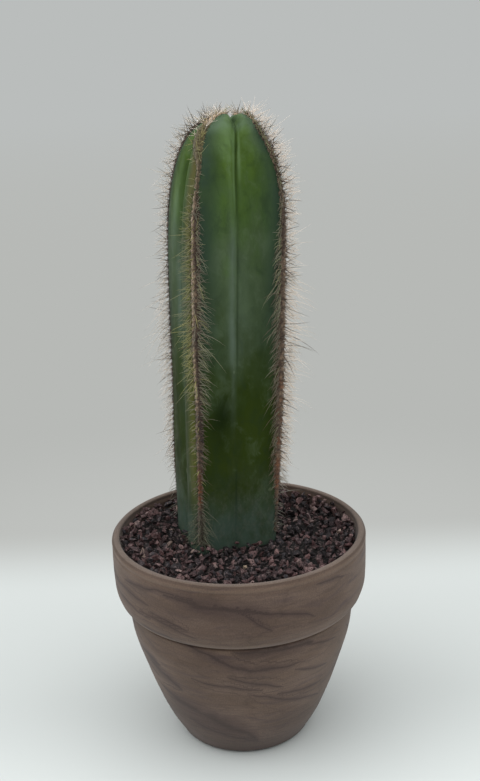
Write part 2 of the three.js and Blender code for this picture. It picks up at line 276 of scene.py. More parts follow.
class Shader:
    """A material's nodes and its colour so far. Most methods add a node and return its output socket.

    Sizes are in millimetres, apart from a noise's scale, which is in lumps to the metre."""

    def __init__(self, name):
        self.material = bpy.data.materials.new(name)
        self.material.use_nodes = True
        self.tree = self.material.node_tree
        self.surface = self.tree.nodes["Principled BSDF"]
        self.place = self.node("ShaderNodeTexCoord").outputs["Object"]
        self.colour = None

    def node(self, kind, inputs=(), **settings):
        made = self.tree.nodes.new(kind)
        for key, value in settings.items():
            setattr(made, key, value)
        for key, value in dict(inputs).items():
            self.feed(made.inputs[key], value)
        return made

    def feed(self, socket, value):
        if isinstance(value, bpy.types.NodeSocket):
            self.tree.links.new(value, socket)
        else:
            socket.default_value = value

    def math(self, operation, first, second=0.0):
        return self.node("ShaderNodeMath", {0: first, 1: second}, operation=operation).outputs[0]

    def times(self, first, second):
        return self.math("MULTIPLY", first, second)

    def less(self, first, second):
        return self.math("SUBTRACT", first, second)

    def vector(self, operation, first, second):
        return self.node("ShaderNodeVectorMath", {0: first, 1: second}, operation=operation).outputs[0]

    def noise(self, scale, detail=3.0, roughness=0.5, rise=1.0, warp=0.0, warp_scale=20.0):
        """Noise whose upright scale is rise times its level one, bent by a slower noise if it has a warp."""
        place = self.place
        if warp:
            bend = self.node("ShaderNodeTexNoise", {"Vector": place, "Scale": warp_scale, "Detail": 2.0})
            bend = self.vector("SUBTRACT", bend.outputs["Color"], (0.5, 0.5, 0.5))
            place = self.vector("ADD", place, self.vector("MULTIPLY", bend, (warp, warp, warp)))
        if rise != 1.0:
            place = self.vector("MULTIPLY", place, (1, 1, rise))
        inputs = {"Vector": place, "Scale": scale, "Detail": detail, "Roughness": roughness}
        return self.node("ShaderNodeTexNoise", inputs).outputs["Fac"]

    def value(self, name):
        return self.node("ShaderNodeAttribute", attribute_name=name).outputs["Fac"]

    def axis(self, letter):
        return self.math("DIVIDE", self.node("ShaderNodeSeparateXYZ", {0: self.place}).outputs[letter], MM)

    def step(self, value, low, high, bottom=0.0, top=1.0):
        """From bottom to top, softly, as the value goes from low to high."""
        inputs = {"Value": value, "From Min": low, "From Max": high, "To Min": bottom, "To Max": top}
        return self.node("ShaderNodeMapRange", inputs, interpolation_type="SMOOTHSTEP").outputs["Result"]

    def ramp(self, value, *stops):
        """A colour from stops, each a position with red, green and blue."""
        made = self.node("ShaderNodeValToRGB", {"Fac": value})
        elements = made.color_ramp.elements
        while len(elements) < len(stops):
            elements.new(0.5)
        for element, (position, *colour) in zip(elements, stops):
            element.position = position
            element.color = srgb(*colour)
        return made.outputs["Color"]

    def mix(self, share, first, second, blend="MIX"):
        """A mix of two colours, each a socket or its red, green and blue."""
        made = self.node("ShaderNodeMix", data_type="RGBA", blend_type=blend)
        self.feed(made.inputs[0], share)
        for key, colour in ((6, first), (7, second)):
            self.feed(made.inputs[key], srgb(*colour) if isinstance(colour, tuple) else colour)
        return made.outputs[2]

    def coat(self, share, colour, blend="MIX"):
        """Lays a colour over the material's own."""
        self.colour = self.mix(share, self.colour, colour, blend)

    def bump(self, height, distance, strength=1.0, below=None):
        inputs = {"Height": height, "Distance": distance * MM, "Strength": strength}
        if below is not None:
            inputs["Normal"] = below
        return self.node("ShaderNodeBump", inputs).outputs["Normal"]

    def finish(self, roughness, normal=None, specular=0.3, sheen=0.0):
        self.feed(self.surface.inputs["Base Color"], self.colour)
        self.feed(self.surface.inputs["Roughness"], roughness)
        if normal is not None:
            self.feed(self.surface.inputs["Normal"], normal)
        self.surface.inputs["Specular IOR Level"].default_value = specular
        self.surface.inputs["Sheen Weight"].default_value = sheen
        self.surface.inputs["Sheen Roughness"].default_value = 0.6
        return self.material


# Rings of another tone on the pot, between four heights: a painted highlight along the shoulder, a painted
# highlight on the bead, and painted shade in the seam above it
PAINTED_CLAY_RINGS = [
    ((87.4, 88.6, 89.5, 91.5), 0.2, (132, 115, 103)),
    ((123.6, 125.0, 125.6, 126.6), 0.3, (128, 106, 90)),
    ((126.4, 127.0, 127.3, 127.8), 0.45, (66, 54, 46)),
]


def clay_material():
    """Unglazed marbled clay: fine lines from the turning, soft tone changes and dark purple-brown streaks."""
    clay = Shader("clay_marbled")
    cloud = clay.noise(26, 4, 0.55, 2.2, 0.03, 14)
    clay.colour = clay.ramp(cloud, (0.3, 89, 71, 59), (0.5, 101, 82, 70), (0.7, 112, 93, 82))
    lines = clay.noise(34, 5, 0.6, 26, 0.012, 22)
    clay.coat(clay.step(lines, 0.38, 0.62, 0.0, 0.34), (82, 67, 61))
    drift = clay.noise(30, 4, 0.6, 7, 0.05, 11)
    clay.coat(clay.step(drift, 0.54, 0.72, 0.0, 0.5), (70, 57, 59))
    # The clay's own dark zones outside, and painted shade over the inner wall
    clay.coat(clay.value("shade"), (62, 48, 44))
    ragged = clay.less(clay.noise(70, 3, 0.55, 3, 0.01, 45), 0.5)
    off_vein = clay.math("ABSOLUTE", clay.math("ADD", clay.value("vein"), ragged))
    clay.coat(clay.step(off_vein, 1.9, 0.1, 0.0, 0.5), (62, 47, 47))
    clay.coat(clay.step(off_vein, 0.5, 0.05, 0.0, 0.45), (44, 33, 30))
    contour = clay.math("ABSOLUTE", clay.less(clay.noise(24, 2, 0.5, 4.5, 0.04, 12), 0.5))
    clay.coat(clay.step(contour, 0.03, 0.002, 0.0, 0.2), (56, 44, 40))
    height = clay.axis("Z")
    clay.coat(clay.step(height, 0, 45, 0.45, 0.0), (76, 65, 63))
    # Painted highlights on the shoulder and the bead, and painted shade in the seam above the bead
    for (start, full, fading, end), strength, colour in PAINTED_CLAY_RINGS:
        ring = clay.times(clay.step(height, start, full), clay.step(height, end, fading, 0.0, strength))
        clay.coat(ring, colour)
    # Painted highlight along the top of the lip
    clay.coat(clay.step(height, 127.5, 128, 0.0, 0.35), (126, 116, 109))
    grit = clay.noise(1500, 2, 0.6)
    greys = clay.ramp(grit, (0.3, 123.555, 123.555, 123.555), (0.7, 231.115, 231.115, 231.115))
    clay.coat(0.35, greys, "SOFT_LIGHT")
    normal = clay.bump(grit, 0.08, 0.6, clay.bump(lines, 0.25, 0.5))
    return clay.finish(clay.step(grit, 0.3, 0.7, 0.82, 0.95), normal, 0.18, 0.12)


def soil_material():
    """Dark crumbly potting soil."""
    soil = Shader("soil_crumb")
    crumb = soil.noise(420, 5, 0.7)
    soil.colour = soil.ramp(crumb, (0.3, 18, 13, 10), (0.6, 46, 34, 26), (0.8, 74, 58, 45))
    return soil.finish(0.95, soil.bump(crumb, 1.2), 0.1)


def lava_material():
    """Crushed lava: red-brown and charcoal grains, each of its own tone, pitted all over."""
    lava = Shader("lava_grain")
    # Tone 0, near black, is only the bed's: painted shade under and between the grains
    lava.colour = lava.ramp(
        lava.value("tone"),
        *[(0.0, 12, 8, 8), (0.12, 36, 28, 30), (0.3, 64, 60, 64), (0.42, 88, 60, 60)],
        *[(0.6, 76, 60, 62), (0.78, 126, 95, 94), (0.93, 162, 138, 134), (1.0, 196, 172, 148)],
    )
    pits = lava.noise(1100, 4, 0.7)
    lava.coat(lava.step(pits, 0.38, 0.58, 0.85, 0.0), (16, 11, 11))
    lava.coat(lava.step(lava.noise(420, 3, 0.6), 0.52, 0.7, 0.0, 0.5), (156, 134, 132))
    return lava.finish(0.7, lava.bump(pits, 0.35), 0.3)


def skin_material():
    """Waxy green skin: bright near the top, dark lower down and blue-grey at the base, with pale waxy
    streaks, partly painted highlight, and painted shade beside the crests and in the creases.
    """
    skin = Shader("skin_waxy")
    high = skin.axis("Z")
    mottle = skin.noise(75, 4, 0.6, 0.6, 0.012, 40)
    uneven = skin.math("ADD", high, skin.times(skin.less(mottle, 0.5), 110))
    skin.colour = skin.ramp(
        skin.math("DIVIDE", skin.less(uneven, 110), 256),
        *[(0.04, 64, 78, 62), (0.15, 52, 64, 34), (0.25, 47, 60, 14), (0.36, 46, 60, 12)],
        *[(0.46, 55, 70, 34), (0.56, 70, 86, 60), (0.68, 77, 94, 65), (0.82, 75, 99, 51)],
        *[(0.92, 79, 104, 43), (1.0, 96, 122, 72)],
    )
    fine = skin.noise(240, 4, 0.6, 0.4)
    skin.coat(skin.step(fine, 0.35, 0.65, 0.0, 0.2), (38, 54, 22))
    blotch = skin.noise(105, 5, 0.65, 0.55, 0.02, 60)
    skin.coat(skin.step(blotch, 0.5, 0.7, 0.0, 0.38), (34, 50, 34))
    skin.coat(skin.step(blotch, 0.49, 0.3, 0.0, 0.28), (100, 116, 92))
    # Darker teal beside the crests, fading in from 215 mm up: partly the skin's own bluish tone, partly
    # painted shadow of the spines
    teal = skin.times(skin.step(skin.value("across"), 0.62, 0.12), skin.step(mottle, 0.3, 0.6, 0.5, 0.9))
    skin.coat(skin.times(teal, skin.step(high, 215, 270)), (56, 74, 62))
    patch = skin.noise(130, 3, 0.6, 0.5, 0.01, 50)
    # Dark bands: mostly painted shade beside the crests, along the left outline and over the left face, with
    # some of the skin's own darker zones
    skin.coat(skin.times(skin.value("dark"), skin.step(patch, 0.25, 0.6, 0.7, 1.0)), (14, 28, 2))
    young = skin.step(high, 290, 335)
    rust = skin.mix(young, (100, 98, 36), (112, 98, 40))
    skin.coat(skin.times(skin.value("olive"), skin.step(patch, 0.3, 0.6, 0.5, 0.9)), rust)
    # Pale bands: partly waxy bloom, partly painted highlight along the creases' edges
    bloom_and_painted_highlight = skin.mix(young, (112, 128, 118), (128, 154, 112))
    streaks = skin.noise(150, 3, 0.6, 0.12, 0.004, 30)
    skin.coat(skin.times(skin.value("pale"), skin.step(streaks, 0.32, 0.62, 0.4, 1.0)), bloom_and_painted_highlight)
    # Painted shade: a dark line deep in the creases
    skin.coat(skin.value("painted_crease_shade"), (28, 42, 22))
    waxy = skin.times(skin.step(high, 355, 361, 0.0, 0.5), skin.step(patch, 0.3, 0.6, 0.4, 1.0))
    skin.coat(waxy, (112, 134, 112))
    dusty = skin.times(skin.step(high, 158, 130), skin.step(patch, 0.3, 0.62, 0.3, 0.8))
    skin.coat(dusty, (72, 90, 81))
    dust = skin.noise(330, 5, 0.75, 0.6)
    dust = skin.times(skin.step(high, 176, 138), skin.step(dust, 0.42, 0.72, 0.0, 0.3))
    skin.coat(dust, (104, 106, 98))
    skin.coat(skin.step(skin.noise(120, 2, 0.4), 0.74, 0.78, 0.0, 0.3), (124, 136, 108))
    normal = skin.bump(fine, 0.08, 0.5, skin.bump(mottle, 0.6, 0.35))
    return skin.finish(skin.step(fine, 0.3, 0.7, 0.4, 0.54), normal, 0.06)


def felt_material():
    """Areole wool from dark brown to tan, with rust and moss, dusty low down and cream at the tip."""
    felt = Shader("areole_felt")
    high = felt.axis("Z")
    fluff = felt.noise(900, 3, 0.6)
    # The wool value holds each flank's painted light and shade, besides the felt's own tones
    shade = felt.math("ADD", felt.value("wool"), felt.times(felt.less(fluff, 0.5), 0.5))
    stops = [(0.0, 52, 42, 36), (0.3, 96, 80, 68), (0.6, 148, 126, 104), (0.8, 188, 168, 142)]
    felt.colour = felt.ramp(shade, *stops, (1.0, 226, 206, 188))
    felt.coat(felt.value("rust"), (142, 86, 52))
    felt.coat(felt.value("moss"), (104, 100, 62))
    felt.coat(felt.step(high, 152, 136, 0.0, 0.75), (94, 90, 76))
    felt.coat(felt.step(high, 360, 364, 0.0, 0.9), (226, 200, 170))
    felt.coat(felt.step(fluff, 0.4, 0.62, 0.45, 0.0), (48, 34, 28))
    return felt.finish(0.95, None, 0.1, 0.2)


def spine_material():
    """Needles: brown at the root, then straw, cream or grey, each of its own tone, with a darker tip."""
    spine = Shader("spine_horn")
    stops = [(0.0, 64, 46, 40), (0.1, 104, 84, 70), (0.22, 134, 132, 114), (0.34, 152, 150, 108)]
    stops += [(0.44, 170, 162, 96), (0.62, 226, 211, 191), (1.0, 251, 241, 234)]
    spine.colour = spine.ramp(spine.value("tone"), *stops)
    along = spine.value("along")
    spine.coat(spine.step(along, 0.16, 0.0, 0.0, 0.5), (96, 72, 56))
    spine.coat(spine.step(along, 0.88, 1.0, 0.0, 0.25), (150, 116, 96))
    spine.coat(spine.step(spine.axis("Z"), 172, 144, 0.0, 0.85), (94, 96, 80))
    return spine.finish(0.5, None, 0.3)


CLAY, SOIL, LAVA = clay_material(), soil_material(), lava_material()
SKIN, FELT, SPINE = skin_material(), felt_material(), spine_material()

# Each vein of the clay: half its width, and points on it as turn in degrees and height
FRONT_VEINS = [
    (1.5, [(-152, 114.8), (-138, 118.6), (-128, 120.6), (-110, 119.4)]),
    (4.6, [(-124, 118.4), (-101, 115.6), (-74, 110.6)]),
    (1.3, [(-103, 118.4), (-92, 113.0), (-88, 109.7), (-77, 99.4)]),
    (1.8, [(-92, 116.0), (-74, 110.4), (-58, 102.6)]),
    (1.3, [(-57, 121.2), (-40, 118.6)]),
    (1.4, [(-140, 102.8), (-123, 100.2), (-110, 94.4)]),
    (1.2, [(-133, 105.4), (-113, 100.0)]),
    (1.6, [(-142, 91.8), (-122, 90.0), (-106, 85.4)]),
    (3.2, [(-126, 87.0), (-107, 81.1), (-96, 75.9), (-86, 72.2), (-62, 70.0)]),
    (4.2, [(-94, 84.8), (-74, 83.4), (-54, 81.6)]),
    (1.4, [(-82, 87.2), (-60, 81.6), (-36, 74.4)]),
    (2.2, [(-98, 68.2), (-70, 54.8)]),
    (1.6, [(-88, 53.2), (-66, 44.6), (-38, 35.4)]),
    (1.4, [(-72, 50.2), (-40, 48.0)]),
    (7.5, [(-146, 45.0), (-111, 33.0), (-82, 14.0)]),
    (2.4, [(-130, 26.2), (-105, 18.8), (-80, 11.8)]),
    (4.2, [(-153, 65.8), (-127, 50.8)]),
    (1.4, [(-118, 63.0), (-98, 60.4), (-80, 55.0)]),
    (1.2, [(-64, 66.0), (-40, 60.2)]),
]
OTHER_VEINS = 60
OTHER_VEIN_WIDTHS = [1.2, 1.5, 2.2, 4.5]
FAR_FROM_VEINS = 9.0

# Soft dark zones of the clay: turn in degrees, height, half width in degrees, half height, and strength.
# The inner wall is evenly darkened with painted shade
CLAY_SHADES = [
    (-92, 107.0, 40, 13.0, 0.42),
    (-128, 26.0, 34, 16.0, 0.4),
    (-84, 9.0, 40, 9.0, 0.3),
    (-62, 24.0, 26, 14.0, 0.22),
    (-96, 76.0, 24, 8.0, 0.2),
    (20, 90.0, 34, 14.0, 0.3),
    (75, 40.0, 40, 18.0, 0.35),
    (130, 100.0, 36, 14.0, 0.3),
    (175, 55.0, 30, 16.0, 0.3),
]
PAINTED_WALL_SHADE = 0.5


def off_turn(turn, degrees):
    """How far a turn is from another that is given in degrees, the short way round."""
    return (turn - math.radians(degrees) + math.pi) % TAU - math.pi


def clay_shade(turn, height, points):
    """How dark each point's zone of the clay is, from 0 to 1."""
    deepest = np.zeros(turn.shape)
    for middle, level, half_width, half_height, strength in CLAY_SHADES:
        aside = off_turn(turn, middle) / math.radians(half_width)
        deepest = np.maximum(deepest, strength * bell(aside) * bell((height - level) / half_height))
    return np.clip(deepest * (1 + 0.35 * lumps(points, (24, 24, 7), 53)), 0, 1)


def clay_veins(rng):
    """The veins seen from the front, and others like them round the rest of the pot."""
    veins = list(FRONT_VEINS)
    for _ in range(OTHER_VEINS):
        turn, height = rng.uniform(-38, 205), rng.uniform(8, 120)
        length, slope = rng.uniform(14, 48), rng.uniform(-0.5, 0.1)
        points = [(turn, height), (turn + length / 2, height + slope * length / 2 + rng.uniform(-2, 2))]
        points.append((turn + length, height + slope * length))
        veins.append((rng.choice(OTHER_VEIN_WIDTHS), points))
    return veins


def vein_field(turn, height, radius, veins):
    """How far each point of the clay is above or below the nearest vein, in half widths of it."""
    field = np.full(turn.shape, FAR_FROM_VEINS)
    wander = on_circle(turn, radius, height)
    height = height + 1.6 * lumps(wander, (19, 19, 12), 51) + 0.7 * lumps(wander, (6, 6, 5), 52)
    for half_width, points in veins:
        total = points[-1][0] - points[0][0]
        for (turn_a, height_a), (turn_b, height_b) in zip(points, points[1:]):
            x, y = off_turn(turn, turn_a) * radius, height - height_a
            run, rise = math.radians(turn_b - turn_a) * radius, height_b - height_a
            share = np.clip((x * run + y * rise) / (run * run + rise * rise), 0, 1)
            whole = (turn_a - points[0][0] + share * (turn_b - turn_a)) / total
            taper = np.sqrt(np.clip(4 * whole * (1 - whole), 0.03, 1))
            distance = np.hypot(x - share * run, y - share * rise) / (half_width * taper)
            nearer = distance < np.abs(field)
            field = np.where(nearer, np.sign(y * run - x * rise) * distance, field)
    return field


def make_pot():
    """The turned pot as one closed shell, with faint throwing lines outside, painted shade on its inner wall
    and a drain hole.
    """
    outside = np.concatenate([curve_through(points, spacing) for points, spacing in OUTSIDE])
    inside = np.concatenate([curve_through(points, spacing) for points, spacing in INSIDE])
    profile = np.concatenate([outside, inside])
    turn = np.arange(POT_TURNS) * TAU / POT_TURNS
    radius, height = np.broadcast_arrays(profile[:, 0, None], profile[:, 1, None] + 0 * turn)
    turn = np.broadcast_to(turn, radius.shape)
    points = on_circle(turn, radius, height)
    thrown = 0.07 * lumps(points, (45, 45, 1.7), 3) + 0.1 * lumps(points, (22, 22, 8), 4) - 0.17
    on_outside = ((np.arange(len(profile)) < len(outside)) & (profile[:, 1] > FOOT_HEIGHT))[:, None]
    radius = radius + thrown * on_outside
    points = on_circle(turn, radius, height)
    field = vein_field(turn, height, radius, clay_veins(np.random.default_rng(11)))
    field = np.where(on_outside, field, FAR_FROM_VEINS)
    # Outside, the clay's own dark zones; inside, painted shade over the inside below the wall's top
    shade = np.where(on_outside, clay_shade(turn, height, points), PAINTED_WALL_SHADE * (height <= WALL_TOP))
    values = {"vein": field.ravel(), "shade": shade.ravel()}
    faces = [grid_faces(len(profile), POT_TURNS, True)]
    return add_mesh("clay_pot", points.reshape(-1, 3), faces, [CLAY], values=values)


def stem_axis(height):
    return np.stack([STEM_BASE[0] + STEM_LEAN * (height - GRAVEL_TOP), STEM_BASE[1] + 0 * height], -1)


def crest_radius(height):
    buried = np.clip((SOIL_TOP - height) / (SOIL_TOP - ROOT_BOTTOM), 0, 1)
    rise = np.clip((height - DOME_START) / (STEM_TOP - DOME_START), 0, 1)
    grown = fade(height, SOIL_TOP, DOME_START, CREST_RADIUS_LOW, CREST_RADIUS_HIGH)
    return grown * np.sqrt(1 - buried**ROOT_POWER) * (1 - rise**DOME_POWER) ** (1 / DOME_POWER)


def section_share(across, height, softness):
    """The section's radius as a share of the crest's: across is 0 on a crest and 1 in a crease."""
    def flat_face(share):
        return math.cos(math.pi / 4) / np.cos(math.pi / 4 * (1 - share))

    rounded = flat_face(np.hypot(across, CREST_ROUNDING)) / flat_face(CREST_ROUNDING)
    young = fade(height, DOME_START - 15, STEM_TOP - 12)
    off_crease = np.hypot(1 - across, softness) - softness
    crease = lerp(*CREASE_DEPTH, young) * np.exp(-off_crease / lerp(*CREASE_WIDTH, young))
    ribbed = rounded + PLUMPNESS * np.sin(math.pi * across) - crease
    return lerp(ROOT_SHARE, ribbed, fade(height, SOIL_TOP - 12, SOIL_TOP + 6))


def off_crest(turns, crest):
    """How many quarter turns a place is from one of the crests, or from a crease at a half."""
    return (turns - crest + 2) % CREST_COUNT - 2


def rib_turn(angle, height):
    """The quarter turns from the first crest, and the way from the nearest crest, from -1 to 1."""
    turns = (angle - FIRST_CREST) / QUARTER
    turns = turns + CREASE_SHIFT * bell(off_crest(turns, 0.5) / 0.22) * fade(height, 335, 362, 1, 0)
    return turns, (turns - np.round(turns)) * 2


def stem_radius(angle, height):
    """The stem's radius. Its creases are soft, apart from the upper front one and those on the dome."""
    turns, side = rib_turn(angle, height)
    front = fade(height, 225, 245) * bell(off_crest(turns, 0.5) / 0.3)
    softness = lerp(lerp(0.1, 0.035, front), 0.02, fade(height, 322, 342))
    radius = crest_radius(height) * section_share(np.abs(side), height, softness)
    for crest, middle, half_height, size in CREST_SWELLS:
        near = bell(off_crest(turns, crest) / 0.3) * fade(height, GRAVEL_TOP, GRAVEL_TOP + 20)
        radius = radius + size * near * bell((height - middle) / half_height)
    return radius


def stem_point(angle, height, outwards=0.0):
    """A point of the skin, or outwards from it."""
    radius = stem_radius(angle, height)
    turns, side = rib_turn(angle, height)
    near_tip = fade(radius, 9, 22, 1, 0)
    notch = TIP_NOTCH * bell((1 - np.abs(side)) / 0.3) * fade(radius, 0, 4)
    dip = TIP_DIP * np.clip(1 - radius / TIP_DIP_RADIUS, 0, None) ** 1.6
    dip = dip + near_tip * (notch + TIP_TILT * radius * np.sin(angle))
    bent = angle + CREST_BEND * fade(height, *BEND_HEIGHTS) * bell(off_crest(turns, FRONT_LEFT) / 0.4)
    flat = np.stack([np.cos(bent), np.sin(bent)], -1) * (radius + outwards)[..., None] + stem_axis(height)
    flat[..., 0] += TIP_SHIFT * near_tip * fade(height, DOME_START, DOME_START + 20)
    return np.concatenate([flat, (height - np.where(height > DOME_START, dip, 0))[..., None]], -1)


def dome_heights(count):
    """Heights from the dome's start to just below its top, closer together the flatter it gets."""
    turn = np.linspace(0, math.pi / 2, count)[:-1]
    return DOME_START + (STEM_TOP - DOME_START) * np.sin(turn) ** (2 / DOME_POWER)


# The skin's marks. How olive the flank clockwise of each crest is, then pale and dark bands and the creases'
# grooves: each one's place in quarter turns from the first crest, half width, heights and strength. The pale
# bands are partly waxy bloom and partly painted highlight along the creases' edges; the dark bands are mostly
# painted shade beside the crests, along the left outline and over the left face, with some of the skin's own
# darker zones; the grooves are painted shade deep in the creases
OLIVE_FLANKS = (0.8, 0.0, 0.6, 0.4)
PALE_BANDS = [
    (0.42, 0.06, (240, 310), 0.62),
    (0.44, 0.05, (205, 240), 0.22),
    (0.39, 0.045, (285, 345), 0.25),
    (0.5, 0.16, (235, 290), 0.2),
    (0.455, 0.022, (322, 366), 0.6),
    (0.55, 0.022, (334, 366), 0.5),
    (3.32, 0.07, (292, 330), 0.5),
    (3.43, 0.075, (250, 292), 0.55),
    (3.55, 0.08, (195, 250), 0.4),
    (1.55, 0.06, (160, 330), 0.5),
    (2.42, 0.07, (150, 320), 0.5),
    (2.7, 0.08, (220, 340), 0.4),
]
SHADE_AND_DARK_SKIN_BANDS = [
    (3.5, 0.34, (60, 352), 0.22),
    (3.04, 0.1, (265, 335), 0.35),
    (3.1, 0.15, (228, 265), 0.55),
    (3.24, 0.17, (150, 228), 0.5),
    (3.5, 0.1, (285, 325), 0.4),
    (0.9, 0.14, (160, 310), 0.2),
    (0.27, 0.19, (190, 212), 1.0),
    (0.18, 0.12, (335, 366), 0.4),
    (3.57, 0.035, (120, 235), 0.55),
    (3.76, 0.1, (275, 340), 0.36),
    (0.74, 0.17, (212, 362), 0.33),
    (0.3, 0.12, (212, 245), 0.3),
    (0.95, 0.16, (325, 366), 0.15),
    (0.1, 0.1, (170, 350), 0.25),
    (1.1, 0.2, (150, 300), 0.3),
    (2.0, 0.16, (150, 330), 0.35),
]
# Dark lines of painted shade deep in the creases: each one's place, heights and strength
PAINTED_CREASE_SHADE_HALF_WIDTH = 0.013
PAINTED_CREASE_SHADES = [(0.5, (128, 152), 0.7), (0.5, (236, 292), 0.5), (0.5, (322, 370), 0.5)]
PAINTED_CREASE_SHADES += [(1.5, (300, 370), 0.5), (2.5, (300, 370), 0.5), (3.5, (325, 370), 0.4)]


def banded(bands, turns, height, points):
    """The strongest of some soft upright bands at each point, from 0 to 1."""
    deepest = np.zeros(turns.shape)
    wander = 0.012 * lumps(points, (30, 30, 24), 25)
    for middle, half_width, (low, high), strength in bands:
        within = fade(height, low - 25, low + 15) * fade(height, high - 15, high + 20, 1, 0)
        band = bell((off_crest(turns, middle) - wander) / half_width)
        deepest = np.maximum(deepest, strength * band * within)
    return np.clip(deepest * (0.85 + 0.35 * lumps(points, (12, 12, 30), 26)), 0, 1)


def skin_marks(angle, height, points):
    """How olive, pale, dark and deep in a crease's shadow each point of the skin is, each from 0 to 1."""
    turns, side = rib_turn(angle, height)
    crest = np.round(turns).astype(int) % CREST_COUNT
    flank = np.clip(-side, 0, None)
    olive = np.array(OLIVE_FLANKS)[crest] * fade(flank, 0.02, 0.12) * fade(flank, 0.2, 0.52, 1, 0)
    olive = olive * fade(height, 150, 190, 0.6, 1) * fade(height, 134, 160) * fade(height, 342, 358, 1, 0)
    olive = olive * (0.85 + 0.3 * lumps(points, (9, 9, 22), 24))
    painted_crease_shade = np.zeros(turns.shape)
    for middle, (low, high), strength in PAINTED_CREASE_SHADES:
        within = fade(height, low - 20, low) * fade(height, high, high + 30, 1, 0)
        line = bell(off_crest(turns, middle) / PAINTED_CREASE_SHADE_HALF_WIDTH)
        painted_crease_shade = np.maximum(painted_crease_shade, strength * within * line)
    pale, dark = (banded(bands, turns, height, points) for bands in (PALE_BANDS, SHADE_AND_DARK_SKIN_BANDS))
    return {"olive": np.clip(olive, 0, 1), "pale": pale, "dark": dark, "painted_crease_shade": painted_crease_shade}


def make_stem():
    """The ribbed stem, from its buried root to its domed tip, with soft swellings and a scalloped crest."""
    quarters = np.arange(STEM_COLUMNS) / STEM_COLUMNS * CREST_COUNT
    angle = FIRST_CREST + QUARTER * (quarters - COLUMN_CROWDING * np.sin(2 * TAU * quarters) / (2 * TAU))
    root = SOIL_TOP - (SOIL_TOP - ROOT_BOTTOM) * (1 - np.linspace(0, 1, 12)[1:]) ** 1.6
    column = np.arange(SOIL_TOP + ROW_SPACING, DOME_START, ROW_SPACING)
    height = np.concatenate([root, column, dome_heights(70)])
    angles, heights = np.meshgrid(angle, height)
    across = rib_turn(angles, heights)[1]
    points = stem_point(angles, heights)
    ridge = bell(across / 0.12) * fade(heights, GRAVEL_TOP, GRAVEL_TOP + 8)
    swell = 0.3 * lumps(points, (17, 17, 26), 21) + 0.12 * lumps(points, (6, 6, 9), 22)
    swell = swell + 0.22 * ridge * np.cos(heights / AREOLE_PITCH * TAU)
    points = stem_point(angles, heights, swell * fade(stem_radius(angles, heights), 3, 12))
    foot = [*stem_axis(np.array(ROOT_BOTTOM)), ROOT_BOTTOM]
    tip = [*(stem_axis(np.array(STEM_TOP)) + [TIP_SHIFT, 0]), STEM_TOP - TIP_DIP]
    values = {"across": np.append(np.abs(across).ravel(), [1, 1])}
    for name, mark in skin_marks(angles, heights, points).items():
        values[name] = np.append(mark.ravel(), [0, 0])
    shape = len(height), STEM_COLUMNS
    points = np.concatenate([points.reshape(-1, 3), [foot, tip]])
    return add_mesh("stem_skin", points, [grid_faces(*shape), pole_faces(*shape)], [SKIN], values=values)


def grain_shapes(rng):
    """Angular stones as (points, triangles), about 1 across from the middle."""
    shapes = []
    for _ in range(GRAIN_SHAPES):
        cloud = unit(rng.normal(size=(12, 3))) * rng.uniform(0.65, 1.15, (12, 1))
        cloud = cloud * (rng.uniform(1.05, 1.4), rng.uniform(0.75, 1.0), rng.uniform(0.6, 0.85))
        shape = bmesh.new()
        for point in cloud:
            shape.verts.new(point)
        bmesh.ops.convex_hull(shape, input=shape.verts)
        loose = [v for v in shape.verts if not v.link_faces]
        bmesh.ops.delete(shape, geom=loose, context="VERTS")
        bmesh.ops.triangulate(shape, faces=shape.faces)
        bmesh.ops.recalc_face_normals(shape, faces=shape.faces)
        shape.verts.index_update()
        points = np.array([v.co[:] for v in shape.verts])
        triangles = np.array([[v.index for v in face.verts] for face in shape.faces])
        shape.free()
        shapes.append((points, triangles))
    return shapes


def random_turns(rng, count):
    """Random rotation matrices."""
    w, x, y, z = unit(rng.normal(size=(count, 4))).T
    rows = [
        [1 - 2 * (y * y + z * z), 2 * (x * y - z * w), 2 * (x * z + y * w)],
        [2 * (x * y + z * w), 1 - 2 * (x * x + z * z), 2 * (y * z - x * w)],
        [2 * (x * z - y * w), 2 * (y * z + x * w), 1 - 2 * (x * x + y * y)],
    ]
    return np.moveaxis(np.array(rows), -1, 0)


def wall_radius(height):
    """The pot's inner radius at a height."""
    curve = np.array(WALL_CURVE)[::-1]
    return np.interp(height, curve[:, 1], curve[:, 0])


def grain_level(x, y):
    """How high the grains may stand at a place."""
    heap = HEAP_HEIGHT * bell(math.hypot(x - HEAP_PLACE[0], y - HEAP_PLACE[1]) / HEAP_RADIUS)
    return heap + fade(math.hypot(x, y), 40, 66, GRAIN_LEVEL_MIDDLE, GRAIN_LEVEL_WALL)


